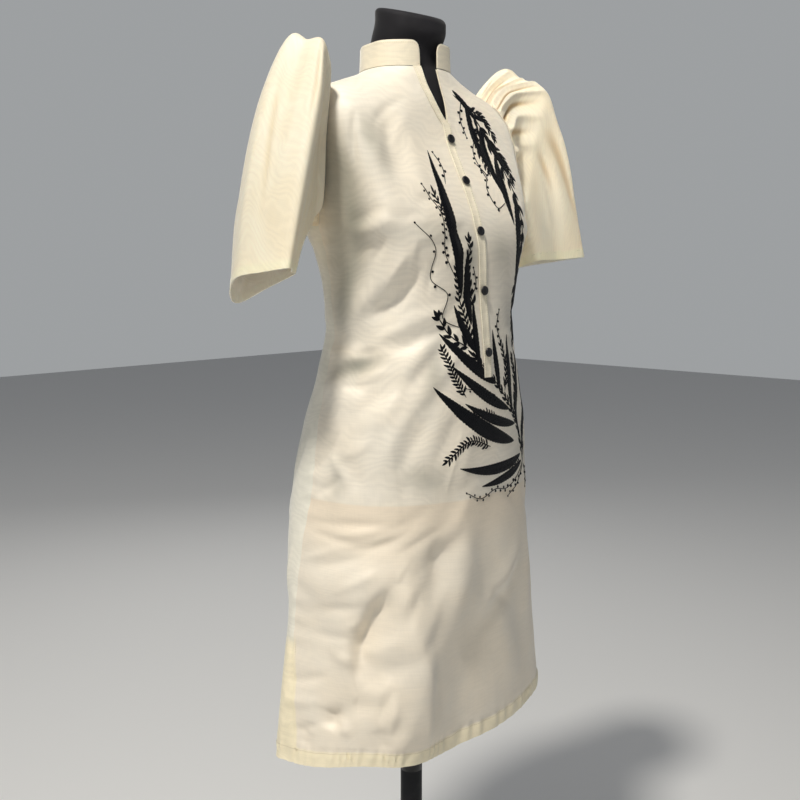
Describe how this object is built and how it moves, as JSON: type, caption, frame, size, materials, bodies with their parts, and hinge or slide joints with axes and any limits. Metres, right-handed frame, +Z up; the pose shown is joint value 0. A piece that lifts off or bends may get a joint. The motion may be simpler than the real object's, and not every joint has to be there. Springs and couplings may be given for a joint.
{
  "type": "filipiniana dress on a dress form",
  "caption": "Sheer knee-length sheath dress with stand collar, front placket, buttons and stiff butterfly sleeves, worn by a limbless dress form on a stand.",
  "frame": {"origin": "centre of the stand base's underside, on the floor", "axes": "+Z up along the pole, -Y to the wearer's front, +X to the wearer's left"},
  "size_m": [0.5876, 0.37, 1.49],
  "materials": {
    "panels": "sheer ivory cloth with a fine weave and a faint sheen, black leaf embroidery",
    "bands": "folded double layer of the same cloth, a little yellower",
    "sleeves": "stiff sheer ivory cloth",
    "lining": "matt light lining cloth",
    "buttons": "black, slightly domed, glossy",
    "form_cover": "charcoal jersey cover, matt",
    "pole": "satin black paint",
    "base": "satin black coat"
  },
  "bodies": {
    "root": {"front": "panels", "back": "panels", "collar": "panels", "placket_right": "bands", "placket_left": "bands", "sleeve_right": "sleeves", "sleeve_left": "sleeves", "lining": "lining", "button_1": "buttons", "button_2": "buttons", "button_3": "buttons", "button_4": "buttons", "button_5": "buttons", "form_torso": "form_cover", "form_neck_cap": "form_cover", "form_pole": "pole", "form_base": "base"}
  },
  "joints": []
}
